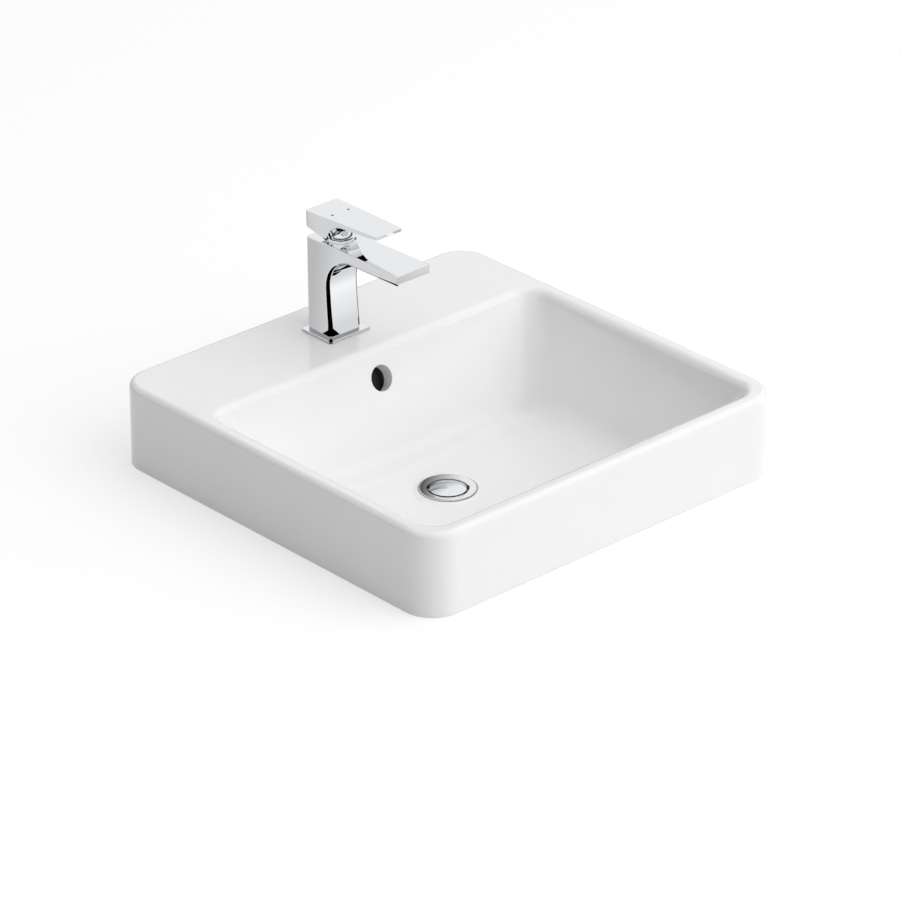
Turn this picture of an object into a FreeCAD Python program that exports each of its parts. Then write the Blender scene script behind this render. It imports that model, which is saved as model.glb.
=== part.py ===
import FreeCAD, Part
import math
import os

# Countertop basin with a tap deck, a single-lever mixer tap and a click waste.
# The origin is on the waste's axis at the level of the skirt's foot.
# +X is the user's right, +Y the back where the tap stands, +Z up. Sizes are millimetres and degrees.

V = FreeCAD.Vector
ORIGIN = V(0, 0, 0)
RIGHT = V(1, 0, 0)
BACK = V(0, 1, 0)
UP = V(0, 0, 1)

# Basin casting
basin_width = 490.0
basin_depth = 483.0
rim_height = 93.0
corner_radius = 36.0
rim_edge_radius = 7.0
rim_width = 19.0
deck_depth = 127.5
deck_thickness = 13.0
skirt_wall = 11.0
ceramic_wall = 10.0
solid_rim_depth = 30.0
bowl_depth = 121.0
bowl_edge_radius = 10.0
bowl_corner_radius = 23.0
floor_corner_radius = 48.0
floor_fillet = 35.0
side_draft = 20.0
back_draft = 21.0
front_draft = 14.0
floor_slope = 2.6

# Overflow hole and the duct from it to the outlet
overflow_radius = 14.0
overflow_drop = 30.7
overflow_wall = 16.0
overflow_tilt = 30.0
duct_width = 36.0
duct_depth = 13.0
duct_wall = 7.0
duct_headroom = 3.0
duct_foot = 24.0

# Outlet in the bowl's floor
outlet_radius = 23.0
outlet_wall = 14.0
outlet_height = 42.0
seat_depth = 2.0
seat_clearance = 1.5
overflow_groove = 6.0

# Waste
flange_radius = 30.2
flange_thickness = 2.2
flange_gasket_thickness = 1.0
flange_round = 1.0
waste_neck_clearance = 0.6
waste_neck_length = 8.0
waste_thread_radius = 20.95
waste_thread_clearance = 0.2
waste_wall = 2.35
waste_length = 70.0
slot_width = 13.0
slot_height = 14.0
slot_count = 4
cross_drop = 36.0
cross_height = 6.0
cross_arm_width = 3.0
cross_arm_count = 3
hub_radius = 7.0
outlet_seal_thickness = 6.0
outlet_seal_lip = 3.0
outlet_seal_width = 12.0
slip_washer_thickness = 2.0
back_nut_flats = 60.0
back_nut_height = 12.0
tail_radius = 16.0
tail_wall = 1.5
tail_length = 60.0
tail_collar_length = 10.0
tail_stop_thickness = 2.0

# Plug and its click mechanism
plug_radius = 20.6
plug_gap = 0.4
plug_crown = 1.7
plug_edge_thickness = 2.8
plug_sink = 0.6
plug_boss_radius = 15.6
plug_boss_height = 3.5
plug_seal_thickness = 2.4
plug_seal_clearance = 0.1
plug_seal_lap = 2.9
stem_radius = 3.5
stem_length = 20.0
stem_spigot_radius = 2.5
stem_spigot_length = 3.0
stem_spigot_clearance = 0.05
stem_slide_clearance = 0.3
click_sleeve_wall = 2.2
click_sleeve_floor = 2.0
click_spigot_radius = 3.9
click_spigot_clearance = 0.05
spring_wire = 0.8
spring_radius = 2.7
spring_turns = 4
spring_end_gap = 0.1

# Tap hole and the tap's base
tap_setback = 67.5
tap_hole_radius = 17.5
plate_width = 56.5
plate_length = 47.5
plate_thickness = 2.2
plate_corner = 2.5
plate_edge_round = 0.8
plate_opening_radius = 14.6
base_gasket_thickness = 0.6
base_gasket_inset = 1.5

# Tap body, measured from the tap hole's centre and up from the deck
column_width = 42.6
column_back_foot = 22.4
column_back_top = 21.2
column_back_straight = 40.0
column_front_foot = 16.3
column_front_waist = 13.1
column_waist_rise = 30.0
column_waist_radius = 300.0
column_front_top = 9.4
column_corner_radius = 5.0
body_top_back = 108.0
spout_reach = 122.0
spout_width = 46.2
spout_flare_start = 57.0
spout_flare_radius = 200.0
spout_corner_radius = 1.5
spout_lip_radius = 2.5
spout_top_tip = 110.5
spout_underside_tip = 98.4
spout_underside_root = 94.2
arch_radius = 36.0
body_edge_round = 4.0
body_top_round = 1.0

# Waterways in the tap body
inlet_offset = 6.5
inlet_setback = 6.0
inlet_thread_radius = 4.5
inlet_thread_depth = 12.0
inlet_drill_radius = 4.2
inlet_drill_depth = 34.0
inlet_bore_radius = 2.8
waterway_width = 16.0
waterway_height = 4.0
waterway_roof = 2.8
waterway_bend = 46.0

# Aerator in the spout
aerator_reach = 108.0
aerator_radius = 10.4
aerator_clearance = 0.2
aerator_wall = 1.2
aerator_lip = 0.6
aerator_height = 4.1
aerator_insert_height = 3.2
aerator_insert_clearance = 0.1
aerator_seal_thickness = 1.2
aerator_seal_width = 1.6
aerator_chamber_height = 2.4
aerator_hole_radius = 1.1
aerator_hole_pitch = 2.9
aerator_hole_rings = 2
aerator_inset = 0.2

# Mixing cartridge, on an upright axis in front of the tap hole's centre
cartridge_offset = 9.0
cartridge_cavity_floor = 90.0
cartridge_radius = 12.5
cartridge_clearance = 0.7
cartridge_seal_thickness = 1.2
cartridge_base_thickness = 4.0
cartridge_port_height = 2.5
cartridge_flange_level = 11.0
cartridge_flange_height = 2.0
cartridge_flange_lap = 1.3
cartridge_bore = 10.2
turret_bore = 10.4
turret_wall = 1.4
disc_thickness = 2.5
fixed_disc_clearance = 0.1
moving_disc_radius = 7.4
carrier_height = 4.0
ball_radius = 2.6
ball_clearance = 0.4
ball_lift = 0.3
neck_radius = 1.9
turret_gap = 0.4
turret_clearance = 0.2
turret_shoulder_height = 7.9
turret_neck_radius = 9.2
turret_neck_height = 2.8
turret_play = 0.3
turret_slot_play = 0.3
turret_slot_length = 13.6
cartridge_roof = 1.2
pivot_height = 110.0
pin_radius = 1.5
pin_clearance = 0.08
lever_stem_width = 7.0
lever_stem_below = 3.6
lever_stem_over_screw = 1.0
nut_thread_clearance = 0.2
nut_thread_wall = 1.3
nut_bore_clearance = 0.2
nut_height = 4.5
nut_notch_width = 4.0
nut_notch_depth = 2.0
nut_notch_count = 4

# Bonnet, a dome round the lever's tilt axis
bonnet_radius = 14.6
bonnet_wall = 1.5
bonnet_seat_depth = 2.5
bonnet_seat_clearance = 0.3
bonnet_hole_radius = 9.6

# Lever, measured from the tilt axis
lever_front = 76.5
lever_front_height = 30.8
lever_front_thickness = 3.9
lever_front_lean = 1.0
lever_back = 31.0
lever_back_height = 27.7
lever_back_lean = 2.2
lever_hub_back_bottom = 10.2
lever_hub_tip = 2.9
lever_hub_tip_front = 0.6
lever_hub_front = 5.6
lever_hub_front_height = 22.8
lever_hub_arc = 25.0
lever_back_width = 44.5
lever_front_width = 34.6
lever_back_corner = 4.0
lever_front_corner = 2.0
lever_edge_round = 0.8
lever_dome_gap = 0.7
lever_socket_clearance = 0.05
lever_screw_over_dome = 0.3
lever_screw_radius = 2.2
lever_screw_length = 9.0
lever_screw_clearance = 0.1
lever_screw_socket = 1.2
lever_screw_socket_depth = 4.0
dot_offset = 11.0
dot_radius = 1.5
dot_depth = 0.8

# Fixing under the deck
stud_setback = 10.0
stud_radius = 4.0
stud_clearance = 0.1
stud_engagement = 14.0
stud_length = 75.0
horseshoe_radius = 26.0
horseshoe_notch_width = 25.0
horseshoe_notch_back = 3.0
horseshoe_gasket_thickness = 2.0
horseshoe_washer_thickness = 3.0
horseshoe_hole_clearance = 0.3
fixing_nut_flats = 13.0
fixing_nut_height = 12.0

# Levels and places that follow from the sizes
drain_z = rim_height - bowl_depth
seat_z = drain_z - seat_depth
seat_radius = flange_radius + seat_clearance
overflow_z = rim_height - overflow_drop
bowl_back_y = basin_depth / 2 - deck_depth
tap_y = basin_depth / 2 - tap_setback
boss_radius = outlet_radius + outlet_wall
boss_bottom_z = seat_z - outlet_height


def tangent(degrees):
    return math.tan(math.radians(degrees))


# Outlines, with corners given as (u, v, radius)
def outline(corners, place):
    starts = []
    mids = []
    ends = []
    count = len(corners)
    for i, (u, v, radius) in enumerate(corners):
        corner = V(u, v, 0)
        before = V(corners[i - 1][0], corners[i - 1][1], 0) - corner
        after = V(corners[(i + 1) % count][0], corners[(i + 1) % count][1], 0) - corner
        before.normalize()
        after.normalize()
        half = before.getAngle(after) / 2
        middle = before + after
        middle.normalize()
        starts.append(corner + before * (radius / math.tan(half)))
        mids.append(corner + middle * (radius / math.sin(half) - radius))
        ends.append(corner + after * (radius / math.tan(half)))
    edges = []
    for i in range(count):
        if corners[i][2] > 0:
            edges.append(Part.Arc(place(starts[i]), place(mids[i]), place(ends[i])).toShape())
        following = starts[(i + 1) % count]
        if (following - ends[i]).Length > 1e-6:
            edges.append(Part.LineSegment(place(ends[i]), place(following)).toShape())
    return Part.Wire(edges)


def plan_outline(corners, z):
    return outline(corners, lambda p: V(p.x, p.y, z))


def plan_prism(corners, z_low, z_high):
    return Part.Face(plan_outline(corners, z_low)).extrude(UP * (z_high - z_low))


def side_prism(corners, width):
    wire = outline(corners, lambda p: V(-width / 2, p.x, p.y))
    return Part.Face(wire).extrude(RIGHT * width)


def rectangle(width, y_low, y_high, radius):
    half = width / 2
    return [(-half, y_low, radius), (half, y_low, radius), (half, y_high, radius), (-half, y_high, radius)]


def turned(corners, y=0.0):
    wire = outline(corners, lambda p: V(p.x, y, p.y))
    return Part.Face(wire).revolve(V(0, y, 0), UP, 360)


def rod(radius, z_low, z_high, x=0.0, y=0.0):
    return Part.makeCylinder(radius, z_high - z_low, V(x, y, z_low))


def ring(bore, radius, z_low, z_high, y=0.0):
    return rod(radius, z_low, z_high, 0, y).cut(rod(bore, z_low, z_high, 0, y))


def block(x_low, x_high, y_low, y_high, z_low, z_high):
    return Part.makeBox(x_high - x_low, y_high - y_low, z_high - z_low, V(x_low, y_low, z_low))


def hexagon(flats, z_low, z_high, y=0.0):
    reach = flats / math.sqrt(3)
    turns = [math.radians(60 * i + 30) for i in range(6)]
    corners = [(reach * math.cos(a), y + reach * math.sin(a), 0) for a in turns]
    return plan_prism(corners, z_low, z_high)


def around(shape, count, centre, first=0.0):
    copies = []
    for i in range(count):
        copy = shape.copy()
        copy.rotate(centre, UP, first + 360.0 * i / count)
        copies.append(copy)
    return copies


# Basin: the bowl, or with grow the outside of the bowl's wall
def bowl_outline(z, radius, grow):
    drop = rim_height - z
    half = basin_width / 2 - rim_width - drop * tangent(side_draft) + grow
    back = bowl_back_y - drop * tangent(back_draft) + grow
    front = -basin_depth / 2 + rim_width + drop * tangent(front_draft) - grow
    return plan_outline(rectangle(2 * half, front, back, radius + grow), z)


def bowl_form(grow):
    level = drain_z - grow
    foot = level - 1
    walls = Part.makeLoft([bowl_outline(foot, floor_corner_radius, grow),
                           bowl_outline(rim_height, bowl_corner_radius, grow)], True, True)
    reach = basin_width
    rise = (reach - seat_radius) * tangent(floor_slope)
    floor = turned([(0, foot - reach, 0), (reach, foot - reach, 0), (reach, level + rise, 0),
                    (seat_radius, level, 0), (0, level, 0)])
    form = walls.cut(floor)
    cone = [f for f in form.Faces if isinstance(f.Surface, Part.Cone)][0]
    foot_edges = [e for e in cone.Edges
                  if all(math.hypot(v.X, v.Y) > seat_radius + 1 for v in e.Vertexes)]
    return form.makeFillet(floor_fillet + grow, foot_edges)


def back_wall_y(z, offset):
    return bowl_back_y - (rim_height - z) * tangent(back_draft) + offset


def duct_prism(margin):
    top = overflow_z + overflow_radius + duct_headroom + margin
    foot = seat_z - duct_foot - margin
    roof = foot + duct_depth + 2 * margin
    front = overflow_wall - margin
    behind = overflow_wall + duct_depth + margin
    corners = [(back_wall_y(top, front), top, 0), (back_wall_y(top, behind), top, 0),
               (back_wall_y(roof, behind), roof, 0), (back_wall_y(roof, behind) - duct_depth, foot, 0),
               (0, foot, 0), (0, roof, 0), (back_wall_y(roof, front), roof, 0)]
    return side_prism(corners, duct_width + 2 * margin)


def basin():
    half_depth = basin_depth / 2
    block_form = plan_prism(rectangle(basin_width, -half_depth, half_depth, corner_radius), 0, rim_height)
    top_face = [f for f in block_form.Faces if f.CenterOfMass.z > rim_height - 0.01][0]
    skirt = block_form.makeFillet(rim_edge_radius, top_face.Edges)
    hollow_width = basin_width - 2 * skirt_wall
    hollow_radius = corner_radius - skirt_wall
    inside = half_depth - skirt_wall
    hollow = plan_prism(rectangle(hollow_width, -inside, inside, hollow_radius),
                        0, rim_height - solid_rim_depth)
    under_deck = plan_prism(rectangle(hollow_width, bowl_back_y, inside, hollow_radius),
                            0, rim_height - deck_thickness)
    casting = skirt.cut(hollow).cut(under_deck)
    casting = casting.fuse(bowl_form(ceramic_wall)).fuse(duct_prism(duct_wall))
    casting = casting.fuse(rod(boss_radius, boss_bottom_z, drain_z - ceramic_wall / 2))
    casting = casting.cut(bowl_form(0))
    groove_z = seat_z - duct_foot
    outlet = rod(outlet_radius, boss_bottom_z, drain_z)
    groove = rod(outlet_radius + overflow_groove, groove_z, groove_z + duct_depth)
    seat = rod(seat_radius, seat_z, drain_z)
    mouth = V(0, back_wall_y(overflow_z, 0), overflow_z)
    inward = V(0, 1, -tangent(overflow_tilt)).normalize()
    reach = overflow_wall + duct_depth / 2
    overflow = Part.makeCylinder(overflow_radius, 2 * reach, mouth - inward * reach, inward)
    tap_hole = rod(tap_hole_radius, 0, rim_height, 0, tap_y)
    for hole in (duct_prism(0), overflow, outlet, groove, seat, tap_hole):
        casting = casting.cut(hole)
    edge = [e for e in casting.Edges if on_bowl_edge(e)]
    return casting.makeFillet(bowl_edge_radius, edge).removeSplitter()


def on_bowl_edge(edge):
    centre = edge.CenterOfMass
    box = edge.BoundBox
    flat = box.ZMin > rim_height - 0.01
    inside = abs(centre.x) < basin_width / 2 - rim_width / 2
    in_front = -basin_depth / 2 + rim_width / 2 < centre.y < bowl_back_y + 1
    return flat and inside and in_front


# Waste, in a frame whose zero is the flange's seat in the basin
def waste_levels():
    flange_bottom = flange_gasket_thickness
    return flange_bottom, flange_bottom + flange_thickness


def waste_body():
    flange_bottom, flange_top = waste_levels()
    neck = outlet_radius - waste_neck_clearance
    pocket = plug_radius + plug_gap
    shoulder = plug_shoulder()
    throat = plug_radius - plug_gap - plug_seal_lap
    bore = waste_thread_radius - waste_wall
    neck_foot = flange_bottom - waste_neck_length
    foot = flange_bottom - waste_length
    body = turned([
        (bore, foot, 0), (waste_thread_radius, foot, 0), (waste_thread_radius, neck_foot, 0),
        (neck, neck_foot, 0), (neck, flange_bottom, 0), (flange_radius, flange_bottom, 0),
        (flange_radius, flange_top, flange_round),
        (flange_radius - 3 * flange_round, flange_top, flange_round),
        (pocket, flange_top - plug_sink - plug_crown / 2, 0), (pocket, shoulder, 0), (throat, shoulder, 0),
        (throat, neck_foot, 0), (bore, neck_foot - waste_wall, 0)])
    slot_top = duct_depth - duct_foot
    slot_half = slot_width / 2
    slot = block(0, waste_thread_radius + 1, -slot_half, slot_half, slot_top - slot_height, slot_top)
    slot = slot.makeFillet(slot_width / 3, [e for e in slot.Edges if abs(e.tangentAt(0).x) > 0.9])
    for opening in around(slot, slot_count, ORIGIN, 45):
        body = body.cut(opening)
    arm = block(0, bore + waste_wall / 2, -cross_arm_width / 2, cross_arm_width / 2,
                -cross_drop - cross_height, -cross_drop)
    cross = rod(hub_radius, -cross_drop - cross_height, -cross_drop)
    for piece in around(arm, cross_arm_count, ORIGIN, 90):
        cross = cross.fuse(piece)
    bore = click_spigot_radius + click_spigot_clearance
    cross = cross.cut(rod(bore, -cross_drop - cross_height, -cross_drop))
    return body.fuse(cross).removeSplitter()


def plug_shoulder():
    return waste_levels()[1] - plug_sink - plug_crown - plug_edge_thickness - plug_seal_thickness


def flange_gasket():
    return ring(outlet_radius, flange_radius - flange_round, 0, flange_gasket_thickness)


def fixing_bore():
    return waste_thread_radius + waste_thread_clearance


def outlet_seal():
    bore = fixing_bore()
    wide = outlet_radius + outlet_seal_width
    top = -outlet_height
    lip = outlet_radius - waste_thread_clearance
    return turned([(bore, top - outlet_seal_thickness, 0), (wide, top - outlet_seal_thickness, 0),
                   (wide, top, 0), (lip, top, 0), (bore + (lip - bore) / 2, top + outlet_seal_lip, 0),
                   (bore, top + outlet_seal_lip, 0)])


def slip_washer():
    top = -outlet_height - outlet_seal_thickness
    return ring(fixing_bore(), outlet_radius + outlet_seal_width, top - slip_washer_thickness, top)


def waste_back_nut():
    top = -outlet_height - outlet_seal_thickness - slip_washer_thickness
    nut = hexagon(back_nut_flats, top - back_nut_height, top)
    return nut.cut(rod(fixing_bore(), top - back_nut_height, top))


def tail_pipe():
    stop_top = waste_levels()[0] - waste_length
    stop_bottom = stop_top - tail_stop_thickness
    collar = waste_thread_radius - waste_wall - waste_thread_clearance
    bore = tail_radius - tail_wall
    foot = stop_bottom - tail_length
    return turned([(bore, foot, 0), (tail_radius, foot, 0), (tail_radius, stop_bottom, 0),
                   (waste_thread_radius, stop_bottom, 0), (waste_thread_radius, stop_top, 0),
                   (collar, stop_top, 0), (collar, stop_top + tail_collar_length, 0),
                   (bore, stop_top + tail_collar_length, 0)])


def plug_bottom():
    return plug_shoulder() + plug_seal_thickness


def stem_top():
    return plug_bottom() - plug_boss_height


def plug_cap():
    edge_top = plug_bottom() + plug_edge_thickness
    crown = V(0, 0, edge_top + plug_crown)
    shoulder = V(plug_radius - plug_gap, 0, edge_top)
    sphere = (shoulder.x ** 2 + plug_crown ** 2) / (2 * plug_crown)
    half_turn = math.asin(shoulder.x / sphere) / 2
    middle = V(sphere * math.sin(half_turn), 0, crown.z - sphere * (1 - math.cos(half_turn)))
    corners = [shoulder, V(plug_radius, 0, edge_top - plug_gap), V(plug_radius, 0, plug_bottom()),
               V(plug_boss_radius, 0, plug_bottom()), V(plug_boss_radius, 0, stem_top()),
               V(0, 0, stem_top()), crown]
    edges = [Part.Arc(crown, middle, shoulder).toShape()]
    for start, end in zip(corners, corners[1:]):
        edges.append(Part.LineSegment(start, end).toShape())
    cap = Part.Face(Part.Wire(edges)).revolve(ORIGIN, UP, 360)
    socket = stem_spigot_radius + stem_spigot_clearance
    return cap.cut(rod(socket, stem_top(), stem_top() + stem_spigot_length + stem_spigot_clearance))


def plug_seal():
    wide = plug_radius - plug_gap
    return ring(plug_boss_radius + plug_seal_clearance, wide, plug_shoulder(), plug_bottom())


def plug_stem():
    shaft = rod(stem_radius, stem_top() - stem_length, stem_top())
    return shaft.fuse(rod(stem_spigot_radius, stem_top(), stem_top() + stem_spigot_length)).removeSplitter()


def click_cartridge():
    bore = stem_radius + stem_slide_clearance
    seat = -cross_drop
    sleeve_top = stem_top() - stem_length / 5
    sleeve = rod(bore + click_sleeve_wall, seat, sleeve_top)
    sleeve = sleeve.cut(rod(bore, seat + click_sleeve_floor, sleeve_top))
    return sleeve.fuse(rod(click_spigot_radius, seat - cross_height, seat)).removeSplitter()


# Spring: a helix drawn as pairs of arcs that share a tangent, two arcs to each half turn
def biarc(start, start_way, end, end_way):
    chord = end - start
    ways = start_way + end_way
    open_angle = 2 * (1 - start_way.dot(end_way))
    lean = chord.dot(ways)
    reach = (-lean + math.sqrt(lean ** 2 + open_angle * chord.dot(chord))) / open_angle
    first = start + start_way * reach
    second = end - end_way * reach
    joint = (first + second) * 0.5
    return [tangent_arc(start, first, joint), tangent_arc(joint, second, end)]


def tangent_arc(start, corner, end):
    middle = (start + end) * 0.5
    cosine = (middle - start).Length / (corner - start).Length
    crown = middle + (corner - middle) * (cosine / (1 + cosine))
    return Part.Arc(start, crown, end).toShape()


def helix_point(turn, z_low, pitch):
    angle = 2 * math.pi * turn
    point = V(spring_radius * math.cos(angle), spring_radius * math.sin(angle), z_low + pitch * turn)
    way = V(-spring_radius * math.sin(angle), spring_radius * math.cos(angle), pitch / (2 * math.pi))
    way.normalize()
    return point, way


def plug_spring():
    gap = spring_wire / 2 + spring_end_gap
    z_low = -cross_drop + click_sleeve_floor + gap
    z_high = stem_top() - stem_length - gap
    pitch = (z_high - z_low) / spring_turns
    edges = []
    for half in range(2 * spring_turns):
        start, start_way = helix_point(half / 2, z_low, pitch)
        end, end_way = helix_point((half + 1) / 2, z_low, pitch)
        edges += biarc(start, start_way, end, end_way)
    start, start_way = helix_point(0, z_low, pitch)
    section = Part.Wire(Part.makeCircle(spring_wire / 2, start, start_way))
    return Part.Wire(edges).makePipeShell([section], True, False)


# Tap, in a frame whose zero is the tap hole's centre on the deck
def plate_foot():
    return base_gasket_thickness


def body_foot():
    return base_gasket_thickness + plate_thickness


def base_gasket():
    half = plate_length / 2 - base_gasket_inset
    outer = rectangle(plate_width - 2 * base_gasket_inset, -half, half, plate_corner - base_gasket_inset)
    return plan_prism(outer, 0, plate_foot()).cut(rod(plate_opening_radius, 0, plate_foot()))


def tap_base_plate():
    half = plate_length / 2
    plate = plan_prism(rectangle(plate_width, -half, half, plate_corner), plate_foot(), body_foot())
    top = [f for f in plate.Faces if f.CenterOfMass.z > body_foot() - 0.01][0]
    plate = plate.makeFillet(plate_edge_round, top.Edges)
    return plate.cut(rod(plate_opening_radius, plate_foot(), body_foot()))


def body_top(y):
    share = (column_back_top - y) / (column_back_top + spout_reach)
    return body_top_back + share * (spout_top_tip - body_top_back)


def spout_underside(y):
    share = (-column_front_top - y) / (spout_reach - column_front_top)
    return spout_underside_root + share * (spout_underside_tip - spout_underside_root)


def body_profile(lip_radius):
    foot = body_foot()
    waist = foot + column_waist_rise
    return [(column_back_foot, foot, 0), (column_back_top, column_back_straight, 0),
            (column_back_top, body_top_back, 0), (-spout_reach, spout_top_tip, 0),
            (-spout_reach, spout_underside_tip, lip_radius),
            (-column_front_top, spout_underside_root, arch_radius),
            (-column_front_waist, waist, column_waist_radius), (-column_front_foot, foot, 0)]


def body_form():
    side = side_prism(body_profile(0), 2 * spout_width)
    column = column_width / 2
    tip = spout_width / 2
    flare = (-spout_flare_start, spout_flare_radius)
    back = (column_back_foot, column_corner_radius)
    front = (-spout_reach, spout_corner_radius)
    plan = [(-column, *back), (-column, *flare), (-tip, *front),
            (tip, *front), (column, *flare), (column, *back)]
    form = side.common(plan_prism(plan, 0, 2 * spout_top_tip))
    front_edges = [e for e in form.Edges if on_front_edge(e)]
    form = form.makeFillet(body_edge_round, front_edges)
    top = max((f for f in form.Faces if f.CenterOfMass.z > body_top_back - 1), key=lambda f: f.Area)
    form = form.makeFillet(body_top_round, top.Edges)
    return form.common(side_prism(body_profile(spout_lip_radius), 2 * spout_width))


def on_front_edge(edge):
    centre = edge.CenterOfMass
    beside = abs(centre.x) > column_width / 4
    above_foot = centre.z > body_foot() + 1
    below_top = centre.z < body_top(centre.y) - body_edge_round
    ahead = centre.y < 0
    behind_tip = centre.y > -spout_reach + spout_corner_radius
    return beside and above_foot and below_top and ahead and behind_tip


def cartridge_levels():
    seal_top = cartridge_cavity_floor + cartridge_seal_thickness
    disc_seat = seal_top + cartridge_base_thickness
    carrier_foot = disc_seat + 2 * disc_thickness
    ball = carrier_foot + ball_lift + ball_radius
    turret_foot = carrier_foot + carrier_height + turret_gap
    return seal_top, disc_seat, carrier_foot, ball, turret_foot


def cartridge_flange_foot():
    return cartridge_cavity_floor + cartridge_flange_level


def nut_foot():
    return cartridge_flange_foot() + cartridge_flange_height


def nut_thread():
    return cartridge_radius + nut_bore_clearance + nut_thread_wall


def bonnet_foot():
    return pivot_height - bonnet_seat_depth


def waterway():
    axis = -cartridge_offset
    low = cartridge_levels()[0]
    start = axis - cartridge_radius
    tip = -aerator_reach
    roof_tip = body_top(tip) - waterway_roof
    roof_bend = body_top(-waterway_bend) - waterway_roof
    corners = [(start, low, 0), (start, low + waterway_height, 0), (-waterway_bend, roof_bend, 0),
               (tip, roof_tip, 0), (tip, roof_tip - waterway_height, 0),
               (-waterway_bend, roof_bend - waterway_height, 0)]
    return side_prism(corners, waterway_width)


def tap_body():
    axis = -cartridge_offset
    high = 2 * spout_top_tip
    foot = body_foot()
    cuts = [rod(cartridge_radius + cartridge_clearance, cartridge_cavity_floor, high, 0, axis),
            rod(nut_thread() + nut_thread_clearance, cartridge_flange_foot(), high, 0, axis),
            rod(bonnet_radius + bonnet_seat_clearance, bonnet_foot(), high, 0, axis),
            rod(stud_radius + stud_clearance, foot, foot + stud_engagement, 0, stud_setback),
            waterway()]
    for side in (-1, 1):
        x = side * inlet_offset
        cuts.append(rod(inlet_thread_radius, foot, foot + inlet_thread_depth, x, -inlet_setback))
        cuts.append(rod(inlet_drill_radius, foot, foot + inlet_drill_depth, x, -inlet_setback))
        cuts.append(rod(inlet_bore_radius, foot, cartridge_cavity_floor + 1, x, -inlet_setback))
    pocket_top = aerator_top() + aerator_seal_thickness
    tip = -aerator_reach
    cuts.append(rod(aerator_radius + aerator_clearance, 0, pocket_top, 0, tip))
    chamber_top = pocket_top + aerator_chamber_height
    cuts.append(rod(aerator_radius - aerator_seal_width, pocket_top, chamber_top, 0, tip))
    body = body_form()
    for cut in cuts:
        body = body.cut(cut)
    return body


def aerator_foot():
    return spout_underside(-aerator_reach) + aerator_inset


def aerator_top():
    return aerator_foot() + aerator_height


def aerator_housing():
    bore = aerator_radius - aerator_wall
    lip = bore - aerator_lip
    low = aerator_foot()
    high = aerator_top()
    return turned([(lip, low, 0), (aerator_radius, low, 0), (aerator_radius, high, 0), (bore, high, 0),
                   (bore, low + aerator_lip, 0), (lip, low + aerator_lip, 0)], -aerator_reach)


def aerator_insert():
    low = aerator_foot() + aerator_lip
    high = low + aerator_insert_height
    radius = aerator_radius - aerator_wall - aerator_insert_clearance
    insert = rod(radius, low, high, 0, -aerator_reach)
    centre = V(0, -aerator_reach, 0)
    insert = insert.cut(rod(aerator_hole_radius, low, high, 0, -aerator_reach))
    for row in range(1, aerator_hole_rings + 1):
        hole = rod(aerator_hole_radius, low, high, row * aerator_hole_pitch, -aerator_reach)
        for copy in around(hole, 6 * row, centre):
            insert = insert.cut(copy)
    return insert


def aerator_seal():
    high = aerator_top() + aerator_seal_thickness
    return ring(aerator_radius - aerator_seal_width, aerator_radius, aerator_top(), high, -aerator_reach)


# Mixing cartridge
def inlet_ports(z_low, z_high):
    ports = []
    for side in (-1, 1):
        ports.append(rod(inlet_bore_radius, z_low, z_high, side * inlet_offset, -inlet_setback))
    return ports


def outlet_port(z_low, z_high):
    return rod(inlet_bore_radius, z_low, z_high, 0, -cartridge_offset - inlet_offset)


def cartridge_seal():
    low = cartridge_cavity_floor
    seal = rod(cartridge_radius, low, low + cartridge_seal_thickness, 0, -cartridge_offset)
    for port in inlet_ports(low, low + cartridge_seal_thickness):
        seal = seal.cut(port)
    return seal


def cartridge_top():
    turret_foot = cartridge_levels()[4]
    return turret_foot + turret_shoulder_height + turret_play + cartridge_roof


def cartridge_body():
    axis = -cartridge_offset
    foot, disc_seat, _, _, turret_foot = cartridge_levels()
    top = cartridge_top()
    flange = cartridge_flange_foot()
    body = rod(cartridge_radius, foot, nut_foot() + nut_height, 0, axis)
    body = body.fuse(rod(turret_bore + turret_wall, foot, top, 0, axis))
    body = body.fuse(rod(cartridge_radius + cartridge_flange_lap, flange, nut_foot(), 0, axis))
    body = body.cut(rod(cartridge_bore, disc_seat, turret_foot, 0, axis))
    body = body.cut(rod(turret_bore, turret_foot, top - cartridge_roof, 0, axis))
    body = body.cut(rod(turret_neck_radius + turret_clearance, top - cartridge_roof, top, 0, axis))
    for port in inlet_ports(foot, disc_seat):
        body = body.cut(port)
    port_foot = disc_seat - cartridge_port_height
    body = body.cut(outlet_port(port_foot, disc_seat))
    channel = block(-inlet_bore_radius, inlet_bore_radius, axis - cartridge_radius - 1, axis - inlet_offset,
                    port_foot, disc_seat - cartridge_port_height / 4)
    return body.cut(channel).removeSplitter()


def fixed_disc():
    low = cartridge_levels()[1]
    high = low + disc_thickness
    disc = rod(cartridge_bore - fixed_disc_clearance, low, high, 0, -cartridge_offset)
    for port in inlet_ports(low, high) + [outlet_port(low, high)]:
        disc = disc.cut(port)
    return disc


def moving_disc():
    low = cartridge_levels()[1] + disc_thickness
    axis = -cartridge_offset
    disc = rod(moving_disc_radius, low, low + disc_thickness, 0, axis)
    chamber = rod(moving_disc_radius / 2, low, low + disc_thickness / 2, 0, axis)
    return disc.cut(chamber)


def disc_carrier():
    low = cartridge_levels()[2]
    high = low + carrier_height
    return ring(ball_radius + ball_clearance, moving_disc_radius, low, high, -cartridge_offset)


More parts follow.
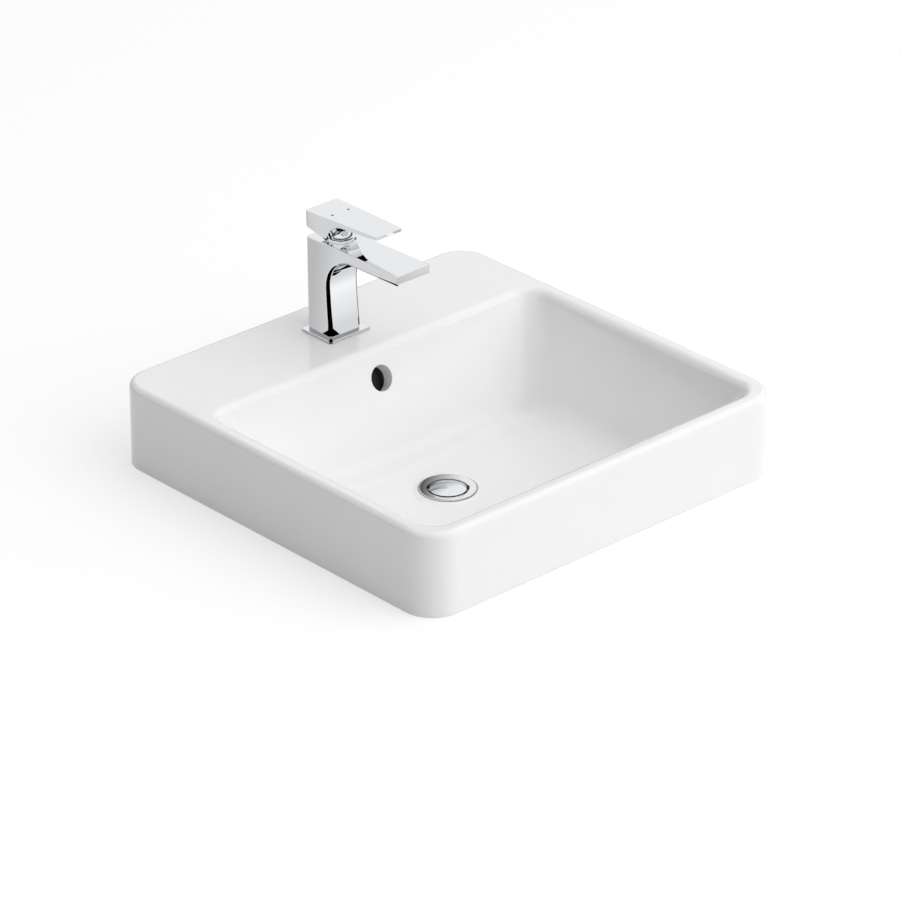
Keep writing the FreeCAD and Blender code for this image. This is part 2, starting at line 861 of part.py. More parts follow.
def lever_turret():
    axis = -cartridge_offset
    foot = cartridge_levels()[4]
    shoulder = foot + turret_shoulder_height
    top = shoulder + turret_neck_height
    turret = rod(turret_bore - turret_clearance, foot, shoulder, 0, axis)
    turret = turret.fuse(rod(turret_neck_radius, shoulder, top, 0, axis))
    half = lever_stem_width / 2 + turret_slot_play
    slot = block(-half, half, axis - turret_slot_length / 2, axis + turret_slot_length / 2, foot, top)
    pin_half = pin_length() / 2
    pin_hole = Part.makeCylinder(pin_radius, 2 * pin_half, V(-pin_half, axis, pivot_height), RIGHT)
    return turret.cut(slot).cut(pin_hole).removeSplitter()


def pin_length():
    return 2 * (turret_bore - 3 * turret_clearance)


def stem_pin():
    half = pin_length() / 2
    return Part.makeCylinder(pin_radius, 2 * half, V(-half, -cartridge_offset, pivot_height), RIGHT)


def screw_level():
    return pivot_height + bonnet_radius + lever_dome_gap + lever_screw_over_dome + lever_screw_radius


def stem_rise():
    return screw_level() + lever_screw_radius + lever_stem_over_screw


def lever_stem():
    axis = -cartridge_offset
    ball = cartridge_levels()[3]
    half = lever_stem_width / 2
    low = pivot_height - lever_stem_below
    shank = block(-half, half, axis - half, axis + half, low, stem_rise())
    neck = rod(neck_radius, ball, low, 0, axis)
    stem = shank.fuse(neck).fuse(Part.makeSphere(ball_radius, V(0, axis, ball)))
    pin_hole = Part.makeCylinder(pin_radius + pin_clearance, lever_stem_width,
                                 V(-half, axis, pivot_height), RIGHT)
    return stem.cut(pin_hole).removeSplitter()


def cartridge_nut():
    axis = -cartridge_offset
    low = nut_foot()
    high = low + nut_height
    nut = ring(cartridge_radius + nut_bore_clearance, nut_thread(), low, high, axis)
    half = nut_notch_width / 2
    notch_foot = high - nut_notch_depth
    notch = block(cartridge_radius - 1, nut_thread() + 1, axis - half, axis + half, notch_foot, high)
    for copy in around(notch, nut_notch_count, V(0, axis, 0)):
        nut = nut.cut(copy)
    return nut


def dome(radius):
    axis = -cartridge_offset
    ball = Part.makeSphere(radius, V(0, axis, pivot_height))
    upper = ball.common(rod(2 * radius, pivot_height, pivot_height + 2 * radius, 0, axis))
    return upper.fuse(rod(radius, bonnet_foot(), pivot_height, 0, axis)).removeSplitter()


def bonnet():
    high = pivot_height + 2 * bonnet_radius
    shell = dome(bonnet_radius).cut(dome(bonnet_radius - bonnet_wall))
    return shell.cut(rod(bonnet_hole_radius, bonnet_foot(), high, 0, -cartridge_offset))


# Lever
def lever_form():
    axis = -cartridge_offset
    profile = [(lever_back, lever_back_height, lever_edge_round), (-lever_front, lever_front_height, 0),
               (lever_front_lean - lever_front, lever_front_height - lever_front_thickness, lever_edge_round),
               (-lever_hub_front, lever_hub_front_height, lever_hub_arc),
               (-lever_hub_tip_front, lever_hub_tip, lever_edge_round),
               (lever_back - lever_back_lean, lever_hub_back_bottom, lever_edge_round)]
    profile = [(axis + y, pivot_height + z, radius) for y, z, radius in profile]
    back = lever_back_width / 2
    front = lever_front_width / 2
    plan = [(-back, axis + lever_back, lever_back_corner), (-front, axis - lever_front, lever_front_corner),
            (front, axis - lever_front, lever_front_corner), (back, axis + lever_back, lever_back_corner)]
    side = side_prism(profile, 2 * lever_back_width)
    return side.common(plan_prism(plan, pivot_height, 2 * pivot_height))


def dot_rod(side):
    axis = -cartridge_offset
    share = lever_back / (lever_back + lever_front)
    top = pivot_height + lever_back_height + share * (lever_front_height - lever_back_height)
    return rod(dot_radius, top - dot_depth, top + dot_depth, side * dot_offset, axis)


def lever_handle():
    axis = -cartridge_offset
    lever = lever_form().cut(Part.makeSphere(bonnet_radius + lever_dome_gap, V(0, axis, pivot_height)))
    half = lever_stem_width / 2 + lever_socket_clearance
    socket = block(-half, half, axis - half, axis + half, pivot_height, stem_rise())
    screw_hole = Part.makeCylinder(lever_screw_radius + lever_screw_clearance, lever_back,
                                   V(0, axis, screw_level()), BACK)
    return lever.cut(socket).cut(screw_hole).cut(dot_rod(-1)).cut(dot_rod(1))


def lever_screw():
    start = V(0, lever_stem_width / 2 - cartridge_offset, screw_level())
    screw = Part.makeCylinder(lever_screw_radius, lever_screw_length, start, BACK)
    socket_start = start + BACK * (lever_screw_length - lever_screw_socket_depth)
    key = hexagon(2 * lever_screw_socket, 0, lever_screw_socket_depth)
    key.rotate(ORIGIN, RIGHT, -90)
    return screw.cut(key.translated(socket_start))


def dot(side):
    return lever_form().common(dot_rod(side))


# Fixing under the deck
def fixing_stud():
    top = body_foot() + stud_engagement
    return rod(stud_radius, top - stud_length, top, 0, stud_setback)


def horseshoe(z_low, z_high):
    plate = rod(horseshoe_radius, z_low, z_high)
    half = horseshoe_notch_width / 2
    notch = block(-half, half, -horseshoe_radius, horseshoe_notch_back, z_low, z_high)
    hole = rod(stud_radius + horseshoe_hole_clearance, z_low, z_high, 0, stud_setback)
    return plate.cut(notch).cut(hole)


def horseshoe_gasket():
    return horseshoe(-deck_thickness - horseshoe_gasket_thickness, -deck_thickness)


def horseshoe_washer():
    top = -deck_thickness - horseshoe_gasket_thickness
    return horseshoe(top - horseshoe_washer_thickness, top)


def fixing_nut():
    top = -deck_thickness - horseshoe_gasket_thickness - horseshoe_washer_thickness
    nut = hexagon(fixing_nut_flats, top - fixing_nut_height, top, stud_setback)
    return nut.cut(rod(stud_radius + stud_clearance, top - fixing_nut_height, top, 0, stud_setback))


# Every piece in its place
seat_place = V(0, 0, seat_z)
deck_place = V(0, tap_y, rim_height)
waste_pieces = (waste_body, flange_gasket, outlet_seal, slip_washer, waste_back_nut, tail_pipe,
                click_cartridge, plug_spring, plug_stem, plug_cap, plug_seal)
tap_pieces = (base_gasket, tap_base_plate, tap_body, aerator_housing, aerator_insert, aerator_seal,
              cartridge_seal, cartridge_body, fixed_disc, moving_disc, disc_carrier, lever_turret, stem_pin,
              lever_stem, cartridge_nut, bonnet, lever_handle, lever_screw, fixing_stud, horseshoe_gasket,
              horseshoe_washer, fixing_nut)

nodes = {"basin": basin()}
for make in waste_pieces:
    nodes[make.__name__] = make().translated(seat_place)
for make in tap_pieces:
    nodes[make.__name__] = make().translated(deck_place)
for name, side in (("hot_dot", -1), ("cold_dot", 1)):
    nodes[name] = dot(side).translated(deck_place)

os.makedirs("parts", exist_ok=True)
for name, shape in nodes.items():
    solids = [s for s in shape.Solids]
    print(f"{name}: solids {len(solids)}, valid {shape.isValid()}, volume {shape.Volume:.1f} mm3")
    shape.exportStep(f"parts/{name}.step")
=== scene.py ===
# %% [markdown]
# # A countertop basin with its mixer tap and click waste
#
# The engineering model already holds every solid of this basin at its real place and size, in metres, with
# the origin on the waste's axis at the level of the skirt's foot. This lesson loads that model as a fixed
# frame and gives it its looks: a camera, soft studio light, and one procedural material for each finish.
# The screw threads are too fine for the solids, so they are modelled on top.

# %% Load the frame
import math
import bmesh
import bpy
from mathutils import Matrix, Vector


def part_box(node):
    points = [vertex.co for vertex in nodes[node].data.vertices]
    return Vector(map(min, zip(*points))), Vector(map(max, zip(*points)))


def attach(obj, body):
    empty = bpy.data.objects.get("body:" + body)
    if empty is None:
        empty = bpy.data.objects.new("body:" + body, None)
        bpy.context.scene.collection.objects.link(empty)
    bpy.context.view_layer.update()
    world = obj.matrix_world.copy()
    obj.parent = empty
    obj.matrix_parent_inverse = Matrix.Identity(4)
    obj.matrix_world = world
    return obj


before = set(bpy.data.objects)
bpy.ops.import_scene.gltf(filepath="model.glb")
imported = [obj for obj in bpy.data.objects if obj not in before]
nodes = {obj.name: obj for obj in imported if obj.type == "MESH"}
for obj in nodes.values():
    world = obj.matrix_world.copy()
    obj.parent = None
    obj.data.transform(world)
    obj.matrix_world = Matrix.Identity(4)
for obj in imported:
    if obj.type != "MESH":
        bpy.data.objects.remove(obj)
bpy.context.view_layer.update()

# %% [markdown]
# ## Camera
#
# The picture was taken from the front left and from above, with a long lens, because the basin's edges
# hardly run together. The place was worked out from the corners of the basin's rim and foot: a sight
# line 27 degrees down, and a lens of 209 mm on a 36 mm sensor. A long lens from far away keeps the
# upright edges almost parallel, which a short lens from near would not.

# %% Camera
sight = Vector((0.6018, 0.6545, -0.4577))
camera_data = bpy.data.cameras.new("photo_camera")
camera_data.lens = 209.2
camera_data.sensor_width = 36.0
camera_data.clip_end = 50.0
camera = bpy.data.objects.new("photo_camera", camera_data)
camera.location = (-3.26127, -3.54999, 2.49794)
camera.rotation_euler = sight.to_track_quat("-Z", "Y").to_euler()
bpy.context.scene.collection.objects.link(camera)
bpy.context.scene.camera = camera
bpy.context.scene.view_settings.view_transform = "Standard"
print("camera at", tuple(round(c, 3) for c in camera.location), "lens", camera_data.lens, "mm")

# %% [markdown]
# ## Helpers for materials
#
# Every material below is a small node tree. One function adds a node, sets what is asked and links what is
# a socket, so each material reads as a list of its nodes. Colours are written as sRGB hex, as a paint
# maker would give them, and turned to the linear values that the renderer works in.

# %% Node and colour helpers
def linear(hex_colour):
    values = [int(hex_colour[i:i + 2], 16) / 255 for i in (1, 3, 5)]
    return [v / 12.92 if v <= 0.04045 else ((v + 0.055) / 1.055) ** 2.4 for v in values] + [1.0]


def add(tree, kind, inputs, **settings):
    made = tree.nodes.new(kind)
    for name, value in settings.items():
        setattr(made, name, value)
    for key, value in inputs.items():
        if isinstance(value, bpy.types.NodeSocket):
            tree.links.new(value, made.inputs[key])
        else:
            made.inputs[key].default_value = value
    return made


def begin(name, hex_colour, sockets):
    material = bpy.data.materials.new(name)
    material.use_nodes = True
    tree = material.node_tree
    shader = tree.nodes["Principled BSDF"]
    shader.inputs["Base Color"].default_value = linear(hex_colour)
    for socket, value in sockets.items():
        shader.inputs[socket].default_value = value
    place = add(tree, "ShaderNodeTexCoord", {}).outputs["Object"]
    return material, tree, shader, place


print("white of the glaze in linear values:", [round(v, 3) for v in linear("#F4F4F4")])

# %% [markdown]
# The finishes share a few moves: noise with waves of a known size, a change from one colour to another, a
# range of roughness, and a fine relief. The noise's scale is the number of its waves in a metre, so it is
# worked out from one wave's real size in millimetres. The relief's depth is in millimetres too.

# %% Pattern helpers
def noise(tree, place, wave_mm, detail=2.0, distortion=0.0):
    waves = 1000.0 / wave_mm
    return add(tree, "ShaderNodeTexNoise", {"Vector": place, "Scale": waves, "Detail": detail,
                                            "Distortion": distortion}).outputs["Fac"]


def remap(tree, value, source=(0.0, 1.0), target=(0.0, 1.0)):
    return add(tree, "ShaderNodeMapRange", {"Value": value, "From Min": source[0], "From Max": source[1],
                                            "To Min": target[0], "To Max": target[1]}).outputs[0]


def two_tone(tree, amount, low, high, stops=(0.0, 1.0)):
    ramp = add(tree, "ShaderNodeValToRGB", {"Fac": amount})
    for element, stop, colour in zip(ramp.color_ramp.elements, stops, (low, high)):
        element.position = stop
        element.color = linear(colour)
    return ramp.outputs[0]


def maths(tree, operation, *values):
    return add(tree, "ShaderNodeMath", dict(enumerate(values)), operation=operation).outputs[0]


def dot(tree, vector, direction):
    product = add(tree, "ShaderNodeVectorMath", {0: vector, 1: direction}, operation="DOT_PRODUCT")
    return product.outputs["Value"]


def blend(tree, factor, first, second, mode="MIX"):
    return add(tree, "ShaderNodeMix", {"Factor": factor, "A": first, "B": second},
               data_type="RGBA", blend_type=mode).outputs["Result"]


def relief(tree, shader, height, strength, depth_mm):
    bump = add(tree, "ShaderNodeBump", {"Height": height, "Strength": strength, "Distance": depth_mm / 1000})
    tree.links.new(bump.outputs[0], shader.inputs["Normal"])


print("helpers:", ", ".join(f.__name__ for f in (noise, remap, two_tone, maths, dot, blend, relief)))

# %% [markdown]
# ## Glazed sanitary ceramic
#
# The basin is vitreous china: a casting of clay, sprayed with white glaze and fired once. The
# foot and the underside stand on the kiln shelf and stay bare: a matt, warmer white. The way behind
# the overflow hole is bare too, and is painted dark grey as the shade deep inside it. All three are told apart
# by where they lie and which way they face, so no picture has to be painted.

# %% Glaze and bare clay
glaze, tree, shader, place = begin("glazed_ceramic", "#F4F4F4", {"IOR": 1.52})
normal = add(tree, "ShaderNodeNewGeometry", {}).outputs["True Normal"]
facing = add(tree, "ShaderNodeSeparateXYZ", {0: normal})
bare = remap(tree, facing.outputs["Z"], source=(-0.55, -0.7))
clay = two_tone(tree, noise(tree, place, 6, detail=3.0), "#D6CFC2", "#E8E3D8")
white = two_tone(tree, noise(tree, place, 60), "#F2F2F3", "#F6F6F6")
skin = blend(tree, bare, white, clay)
print("made", glaze.name)

# %% [markdown]
# The overflow's hole goes through the bowl's back wall into a duct behind it. The glaze runs into the hole and
# turns matt on its way, and the duct is painted dark grey to stand in for the shade inside it. The back wall
# leans back by 21 degrees, so the depth behind its face is one dot product of the place with the wall's own
# direction. The depth sets the painted shade and the roughness, inside a box a little wider than the hole. The
# glaze melts to a glassy coat that is never quite flat, so its gloss shows very soft ripples about 14 mm
# across.

# %% Overflow's way and the glaze's ripples
wall_lean = math.radians(21)
into_wall = (0.0, math.cos(wall_lean), -math.sin(wall_lean))
wall_face, duct_face, duct_back = 0.0731, 0.0880, 0.1003
hole_level, half_width, half_height = 0.05, 0.019, 0.031
depth = dot(tree, place, into_wall)
axes = add(tree, "ShaderNodeSeparateXYZ", {0: place})
beside = maths(tree, "COMPARE", axes.outputs["X"], 0.0, half_width)
level = maths(tree, "COMPARE", axes.outputs["Z"], hole_level, half_height)
ahead = maths(tree, "LESS_THAN", depth, duct_back)
within = maths(tree, "MULTIPLY", maths(tree, "MULTIPLY", beside, level), ahead)
inward = remap(tree, depth, source=(wall_face, duct_face))
# Painted shade: past the duct's face the colour is multiplied down to dark grey, standing in for the shade
# inside the duct.
duct_painted_shade = two_tone(tree, inward, "#FFFFFF", "#565456", stops=(0.96, 1.0))
skin = blend(tree, within, skin, duct_painted_shade, mode="MULTIPLY")
tree.links.new(skin, shader.inputs["Base Color"])
matt = maths(tree, "MAXIMUM", bare, maths(tree, "MULTIPLY", within, inward))
tree.links.new(remap(tree, matt, target=(0.1, 0.85)), shader.inputs["Roughness"])
relief(tree, shader, noise(tree, place, 14, detail=1.0), strength=0.25, depth_mm=0.08)
print("the overflow's way is", round((duct_back - wall_face) * 1000, 1), "mm deep")

# %% [markdown]
# ## Polished chrome
#
# The tap, the flange and the plug are brass or zinc, polished and plated with chrome. Chrome is almost a
# mirror, so its looks come from what it reflects. Two things keep it from looking computed: the buffing
# leaves very long soft waves, about 30 mm, and its sharpness differs a little from place to place.

# %% Chrome
chrome, tree, shader, place = begin("polished_chrome", "#E7E8EA", {"Metallic": 1.0})
rub = noise(tree, place, 18, detail=4.0)
tree.links.new(remap(tree, rub, target=(0.015, 0.06)), shader.inputs["Roughness"])
relief(tree, shader, noise(tree, place, 30, detail=0.0), strength=0.15, depth_mm=0.1)
print("made", chrome.name)

# %% [markdown]
# ## Rubber seals
#
# The seals are moulded nitrile rubber: almost black, dull, with a grey bloom in soft patches and the fine grain
# of the mould, about half a millimetre.

# %% Rubber
rubber, tree, shader, place = begin("nitrile_rubber", "#202021", {"Specular IOR Level": 0.35})
bloom = noise(tree, place, 7, detail=4.0)
tree.links.new(two_tone(tree, bloom, "#19191A", "#343435"), shader.inputs["Base Color"])
tree.links.new(remap(tree, bloom, target=(0.5, 0.8)), shader.inputs["Roughness"])
relief(tree, shader, noise(tree, place, 0.5), strength=0.3, depth_mm=0.05)
print("made", rubber.name)

# %% [markdown]
# ## Turned metals
#
# The nuts, the stud and the pin are turned on a lathe or drawn, so fine level lines run around them. Noise
# that is squeezed 60 times in height gives such lines on any upright piece. Brass and steel share
# the build and differ in colour and in how much the air has dulled them.

# %% Brass and steel
def turned_metal(name, fresh, aged, smooth, rough):
    metal, tree, shader, place = begin(name, fresh, {"Metallic": 1.0})
    squeezed = add(tree, "ShaderNodeMapping", {"Vector": place, "Scale": (1, 1, 60)}).outputs[0]
    lines = noise(tree, squeezed, 30, detail=3.0)
    air = noise(tree, place, 9, detail=5.0)
    tree.links.new(two_tone(tree, air, fresh, aged, stops=(0.35, 0.75)), shader.inputs["Base Color"])
    tree.links.new(remap(tree, lines, target=(smooth, rough)), shader.inputs["Roughness"])
    relief(tree, shader, lines, strength=0.2, depth_mm=0.03)
    print("made", metal.name)
    return metal


brass = turned_metal("turned_brass", "#D3B067", "#A8834A", 0.16, 0.36)
steel = turned_metal("stainless_steel", "#C2C4C6", "#A3A5A8", 0.2, 0.42)

# %% [markdown]
# ## Moulded plastics
#
# The slip washer and the small slides are white polypropylene, and the mixing cartridge's housing and the
# aerator's insert are grey acetal. Both come out of the mould half gloss, with faint flow marks a few
# centimetres long and a fine spark-eroded grain. The two differ in colour only.

# %% Plastics
def moulded_plastic(name, low, high):
    plastic, tree, shader, place = begin(name, high, {"IOR": 1.48})
    flow = noise(tree, place, 22, distortion=1.5)
    tree.links.new(two_tone(tree, flow, low, high), shader.inputs["Base Color"])
    tree.links.new(remap(tree, flow, target=(0.28, 0.46)), shader.inputs["Roughness"])
    relief(tree, shader, noise(tree, place, 0.6), strength=0.12, depth_mm=0.04)
    print("made", plastic.name)
    return plastic


white_plastic = moulded_plastic("white_polypropylene", "#DEDEDA", "#ECECE8")
grey_plastic = moulded_plastic("grey_acetal", "#7C7F83", "#93969A")

# %% [markdown]
# ## Alumina discs
#
# The two discs that meter the water are pressed alumina, lapped flat until they seal on each other. Alumina is
# ivory white with fine dark grains, a third of a millimetre, and the lapping leaves a half gloss.

# %% Alumina
grain_mm = 0.35
disc, tree, shader, place = begin("lapped_alumina", "#EFECE4", {"IOR": 1.76})
grains = add(tree, "ShaderNodeTexVoronoi", {"Vector": place, "Scale": 1000.0 / grain_mm}).outputs["Distance"]
tree.links.new(two_tone(tree, grains, "#CFC9BC", "#F2EFE8", stops=(0.0, 0.25)), shader.inputs["Base Color"])
tree.links.new(remap(tree, grains, target=(0.34, 0.18)), shader.inputs["Roughness"])
print("made", disc.name)

# %% [markdown]
# ## Enamel dots
#
# The hot and cold marks are drops of enamel, baked into shallow round pockets in the lever's top. A drop is
# thickest in its middle, which deepens its colour there; here the colour only goes from deep to pale in small
# clouds. It is half matt with age.

# %% Enamel
def enamel(name, deep, pale):
    paint, tree, shader, place = begin(name, deep, {"Roughness": 0.4, "Specular IOR Level": 0.12})
    cloud = noise(tree, place, 1.2, detail=3.0)
    tree.links.new(two_tone(tree, cloud, deep, pale), shader.inputs["Base Color"])
    print("made", paint.name)
    return paint


red = enamel("red_enamel", "#4A060B", "#741016")
blue = enamel("blue_enamel", "#0A1838", "#122A58")

# %% [markdown]
# ## Every piece gets its finish
#
# Each solid comes with the name of its material slot, as the engineering model states it. A table from slot to
# finish dresses them all, on the object itself, so the frame's meshes stay as they came.

# %% Dress the pieces
finishes = {"glazed_ceramic": glaze, "chrome": chrome, "rubber": rubber, "steel": steel, "brass": brass,
            "white_plastic": white_plastic, "grey_plastic": grey_plastic, "ceramic_disc": disc,
            "red_enamel": red, "blue_enamel": blue}
for node in nodes.values():
    slot = node.data.materials[0].name.split(".")[0]
    node.material_slots[0].link = "OBJECT"
    node.material_slots[0].material = finishes[slot]
print("dressed", len(nodes), "pieces in", len(finishes), "finishes")

# %% [markdown]
# ## Screw threads
#
# The stud under the deck and the foot of the waste are threaded, and their solids are plain rods. A thread is a
# ridge that climbs by one pitch in each turn. It could be a displacement, but that needs a very dense
# mesh. A spin with a lift at each step makes the same ridge from one small outline of four corners,
# sunk a little into the rod so that no gap shows. The outline is given in pitches, outward and upward. The
# stud is M8 with a pitch of 1.25 mm and the waste has a pipe thread of 2.31 mm.

# %% Threads
def screw_thread(name, rod, axis, radius, low, high, pitch):
    around, sink, crest, root_width = 32, 0.15, 0.3, 0.9
    outline = ((-sink, 0.0), (crest, 0.38), (crest, 0.52), (-sink, root_width))
    turns = math.floor((high - low) / pitch - root_width)
    form = bmesh.new()
    start = [form.verts.new((axis[0] + radius + out * pitch, axis[1], low + up * pitch))
             for out, up in outline]
    bmesh.ops.spin(form, geom=[form.faces.new(start)], cent=(*axis, low), axis=(0, 0, 1),
                   dvec=(0, 0, pitch / around), angle=2 * math.pi * turns, steps=around * turns,
                   use_duplicate=False)
    bmesh.ops.recalc_face_normals(form, faces=form.faces)
    mesh = bpy.data.meshes.new(name)
    form.to_mesh(mesh)
    form.free()
    piece = bpy.data.objects.new(name, mesh)
    bpy.context.scene.collection.objects.link(piece)
    mesh.materials.append(nodes[rod].material_slots[0].material)
    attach(piece, "fixed")
    print(name, "has", turns, "turns and", len(mesh.polygons), "faces")
    return piece


stud_axis, stud_radius, stud_pitch = (0, 0.184), 0.004, 0.00125
stud_low, stud_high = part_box("fixing_stud")[0][2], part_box("fixing_nut")[0][2]
stud_thread = screw_thread("stud_thread", "fixing_stud", stud_axis, stud_radius,
                           stud_low, stud_high, stud_pitch)
waste_axis, waste_radius, waste_pitch = (0, 0), 0.02095, 0.00231
foot_low, foot_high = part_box("waste_body")[0][2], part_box("waste_back_nut")[0][2]
waste_thread = screw_thread("waste_thread", "waste_body", waste_axis, waste_radius,
                            foot_low, foot_high, waste_pitch)

# %% [markdown]
# ## World and light
#
# The photograph's light is a white studio: bright from the front and above, soft, with the left faces a
# clear step darker. One wide lamp at the front right does that, and a dim white dome, brighter toward the
# right and above, fills the rest. Chrome shows its surroundings, so the world that the mirror sees is not
# the one that lights the clay: it is white overhead and falls to a dark horizon, as in a room with black
# flags round a table, and that draws the dark edges which make chrome look like chrome. The camera sees
# plain white.

# %% World
bright_side = (0.41, -0.16, 0.9)
world = bpy.data.worlds.new("studio")
bpy.context.scene.world = world
world.use_nodes = True
tree = world.node_tree
back = tree.nodes["Background"]
back.inputs["Color"].default_value = (1, 1, 1, 1)
path = add(tree, "ShaderNodeLightPath", {})
away = add(tree, "ShaderNodeTexCoord", {}).outputs["Generated"]
aim = add(tree, "ShaderNodeSeparateXYZ", {0: away})
sky = remap(tree, aim.outputs["Z"], source=(0.14, 0.3), target=(0.05, 1.0))
dome = remap(tree, dot(tree, away, bright_side), source=(-0.2, 1.0), target=(0.15, 1.0))
level = add(tree, "ShaderNodeMix", {"Factor": path.outputs["Is Glossy Ray"], "A": dome, "B": sky}).outputs[0]
level = add(tree, "ShaderNodeMix", {"Factor": path.outputs["Is Camera Ray"], "A": level, "B": 1.0}).outputs[0]
tree.links.new(level, back.inputs["Strength"])
print("made the world", world.name)

# %% Key light
key_place, key_aim = Vector((1.3, -2.9, 2.3)), Vector((0, 0, 0.05))
key_data = bpy.data.lights.new("key", "AREA")
key_data.shape = "SQUARE"
key_data.size = 4.4
key_data.energy = 76
key = bpy.data.objects.new("key", key_data)
key.location = key_place
key.rotation_euler = (key_aim - key_place).to_track_quat("-Z", "Y").to_euler()
key.visible_glossy = False
bpy.context.scene.collection.objects.link(key)
print("made the lamp", key.name, "with", key_data.energy, "watts")

# %% [markdown]
# ## Floor
#
# A plain pale sheet lies just under the foot of the skirt, with a hole where the bowl drops through it. To
# the camera and to the mirror surfaces it is white, with a little light of its own, so that the background
# comes out white without more light on the basin. It still takes the basin's shadow.

# %% Floor's sheet
hole_half, hole_round, spread, under_foot = 0.224, 0.03, 30, 0.0003
mesh = bpy.data.meshes.new("floor")
form = bmesh.new()
bmesh.ops.create_grid(form, x_segments=1, y_segments=1, size=hole_half)
bmesh.ops.bevel(form, geom=form.verts[:], offset=hole_round, affect="VERTICES", segments=8, profile=0.5,
                material=-1)
ring = bmesh.ops.extrude_edge_only(form, edges=[e for e in form.edges if e.is_boundary])
outer = [v for v in ring["geom"] if isinstance(v, bmesh.types.BMVert)]
bmesh.ops.scale(form, vec=(spread, spread, 1), verts=outer)
bmesh.ops.delete(form, geom=[f for f in form.faces if len(f.verts) > 4], context="FACES_ONLY")
bmesh.ops.translate(form, vec=(0, 0, -under_foot), verts=form.verts)
bmesh.ops.recalc_face_normals(form, faces=form.faces)
if sum(f.normal.z for f in form.faces) < 0:
    bmesh.ops.reverse_faces(form, faces=form.faces)
form.to_mesh(mesh)
form.free()
floor = bpy.data.objects.new("floor", mesh)
bpy.context.scene.collection.objects.link(floor)
print("the floor has", len(mesh.polygons), "faces")

# %% Floor's paint
own_light = 0.47
paint, tree, shader, place = begin("floor_paint", "#E9E9E9", {"Roughness": 1.0, "Specular IOR Level": 0.0})
path = add(tree, "ShaderNodeLightPath", {})
seen = maths(tree, "MAXIMUM", path.outputs["Is Camera Ray"], path.outputs["Is Glossy Ray"])
tree.links.new(blend(tree, seen, linear("#E6E6E6"), linear("#CACACA")), shader.inputs["Base Color"])
shader.inputs["Emission Color"].default_value = (1, 1, 1, 1)
tree.links.new(maths(tree, "MULTIPLY", seen, own_light), shader.inputs["Emission Strength"])
mesh.materials.append(paint)
print("made", paint.name)

# %% [markdown]
# ## Cards for the chrome
#
# A photographer of taps sets grey, white and black cards just outside the picture, and each plane of the chrome
# shows one of them. The same is done here. A card is a flat ring sector, spun from one edge, that only
# mirror rays meet, and only from one side, so the cards neither light the basin nor show in the picture.
# A card's tone can change along a direction, from the first tone to the second over a span.

# %% Card maker
black = (0.0, 0.0)


def card(name, centre, azimuths, radii, height, tones, along=(1, 0, 0), span=(0, 1), faces_up=True):
    start, end = (math.radians(a) for a in azimuths)
    full_turn = end - start > 2 * math.pi - 0.01
    ray = Vector((math.cos(start), math.sin(start), 0))
    foot = Vector((*centre, height))
    mesh = bpy.data.meshes.new(name)
    form = bmesh.new()
    inner, outer = (form.verts.new(foot + ray * radius) for radius in radii)
    edge = form.edges.new((inner, outer))
    bmesh.ops.spin(form, geom=[inner, outer, edge], axis=(0, 0, 1), cent=foot, angle=end - start, steps=16,
                   use_merge=full_turn)
    form.normal_update()
    if (sum(f.normal.z for f in form.faces) > 0) != faces_up:
        bmesh.ops.reverse_faces(form, faces=form.faces)
    form.to_mesh(mesh)
    form.free()
    mesh.materials.append(card_paper(name, tones, along, span))
    piece = bpy.data.objects.new(name, mesh)
    bpy.context.scene.collection.objects.link(piece)
    piece.visible_camera = False
    piece.visible_diffuse = False
    piece.visible_shadow = False
    piece.visible_transmission = False
    print("set", name)


def card_paper(name, tones, along, span):
    paper = bpy.data.materials.new(name)
    paper.use_nodes = True
    tree = paper.node_tree
    tree.nodes.clear()
    place = add(tree, "ShaderNodeTexCoord", {}).outputs["Object"]
    tone = remap(tree, dot(tree, place, along), source=span, target=tones)
    glow = add(tree, "ShaderNodeEmission", {"Strength": tone})
    clear = add(tree, "ShaderNodeBsdfTransparent", {})
    side = add(tree, "ShaderNodeNewGeometry", {})
    both = add(tree, "ShaderNodeMixShader", {0: side.outputs["Backfacing"], 1: glow.outputs[0],
                                             2: clear.outputs[0]})
    add(tree, "ShaderNodeOutputMaterial", {"Surface": both.outputs[0]})
    return paper


# %% [markdown]
# ### Cards around the tap
#
# A plane of the tap that faces left mirrors what lies low to the back left, a plane that faces front mirrors
# what lies low to the front right, and the rounded edge between them sweeps over everything between, so a
# black card there draws the dark line down that edge. These cards lie a fraction of a millimetre above the
# level of the tap's plate, and where two overlap the upper one counts. One small black ring lies over the
# tap's top, under the lever.

# %% Cards around the tap
plate_top, body_top = 0.0958, 0.2045
near_edge, plate_middle = (-0.0144, 0.1703), (0.0, 0.174)
card("card_grey_left", (-0.021, 0.165), (93, 175), (0.002, 0.33), plate_top + 0.0003, (0.79, 0.6),
     along=(0.736, 0.677, 0), span=(0.088, 0.112))
card("card_dark_left", near_edge, (170, 294), (0.004, 0.2), plate_top + 0.0005, black)
card("card_white_front", near_edge, (294, 346), (0.004, 0.21), plate_top + 0.0005, (0.83, 1.12),
     along=(0, -1, 0), span=(-0.13, -0.06))
card("card_grey_tip", (0.0, 0.158), (285, 330), (0.21, 0.38), plate_top + 0.0005, (0.71, 0.85),
     along=(1, 0, 0), span=(0.13, 0.17))
card("card_dark_back", plate_middle, (-28, 88), (0.028, 0.15), plate_top + 0.0004, black)
card("card_dark_right", plate_middle, (-42, -26), (0.028, 0.055), plate_top + 0.0006, black)
card("card_dark_edge", plate_middle, (55, 93), (0.15, 0.34), plate_top + 0.0004, black)
card("card_dark_dome", (0.0, 0.165), (150, 300), (0.0155, 0.027), body_top, black)

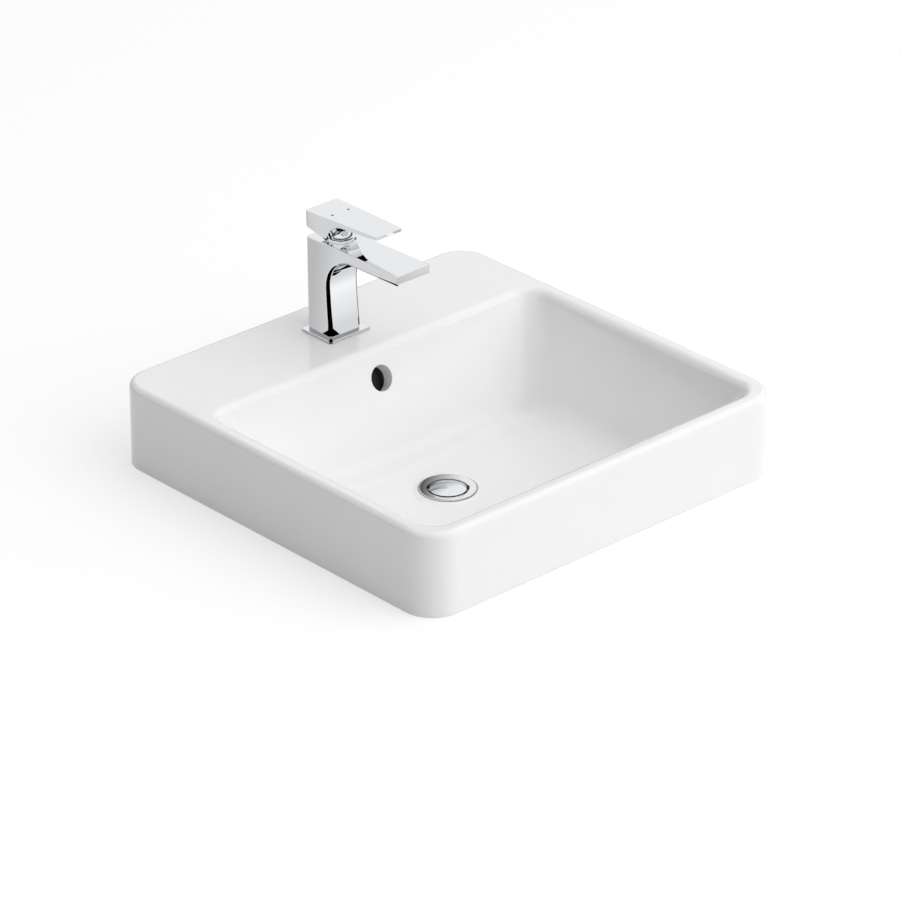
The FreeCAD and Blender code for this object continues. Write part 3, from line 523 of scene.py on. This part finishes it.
# %% [markdown]
# ### Cards at the tap's foot
#
# The foot of the column turns outward in a small sweep, which mirrors what hangs over the front left. A grey
# card there gives the grey band round the foot, and black ones carry the dark line on to the plate's near
# corner. All but the last face down.

# %% Cards at the tap's foot
foot_middle, near_corner = (-0.012, 0.162), (-0.0213, 0.1577)
hang_height, plate_foot = 0.22, 0.0931
card("card_foot", foot_middle, (112, 338), (0.16, 0.36), hang_height, (0.42, 0.42), faces_up=False)
card("card_foot_corner", foot_middle, (214, 233), (0.16, 0.36), hang_height - 0.0005, black, faces_up=False)
card("card_plate_top", near_corner, (207, 247), (0.0, 0.0095), plate_top + 0.00015, black, faces_up=False)
card("card_plate_corner", (-0.0262, 0.1522), (150, 300), (0.0028, 0.03), plate_foot, black)

# %% [markdown]
# ### Cards over the drain
#
# The waste's flange is dark on its left and bright on its right, so the card above it changes tone across. The
# plug lies a little lower than the flange, so a card just under the flange's top is seen by the plug alone: it
# carries the plug's paler tones, one soft streak, and the dark line round its edge. That line has a near
# part, and a far part which the flange's inner lip and wall mirror.

# %% Cards over the drain
flange_top = -0.0268
plug_middle, near_line_middle = (0, 0), (0.0029, 0.0032)
card("card_drain", (0.005, 0.006), (0, 360), (0.0, 0.037), flange_top + 0.0053, (0.13, 1.0),
     along=(0.62, -0.785, 0), span=(-0.026, 0.0095), faces_up=False)
card("card_plug", plug_middle, (0, 360), (0.0, 0.0209), flange_top - 0.00025, (0.4, 1.0),
     along=(0.04, -1, 0), span=(-0.018, 0.004), faces_up=False)
card("card_plug_streak", (-0.0222, 0.0162), (-39, -20), (0.004, 0.027), flange_top - 0.00029, (0.26, 0.75),
     along=(0.736, -0.677, 0), span=(-0.016, 0.002), faces_up=False)
card("card_plug_near", near_line_middle, (150, 324), (0.0200, 0.0223), flange_top - 0.00032, (0.02, 0.02),
     faces_up=False)
card("card_plug_lip", plug_middle, (-42, 140), (0.0203, 0.0222), flange_top - 0.00005, black, faces_up=False)
card("card_plug_wall", plug_middle, (-60, 150), (0.0175, 0.0208), flange_top - 0.00175, black)
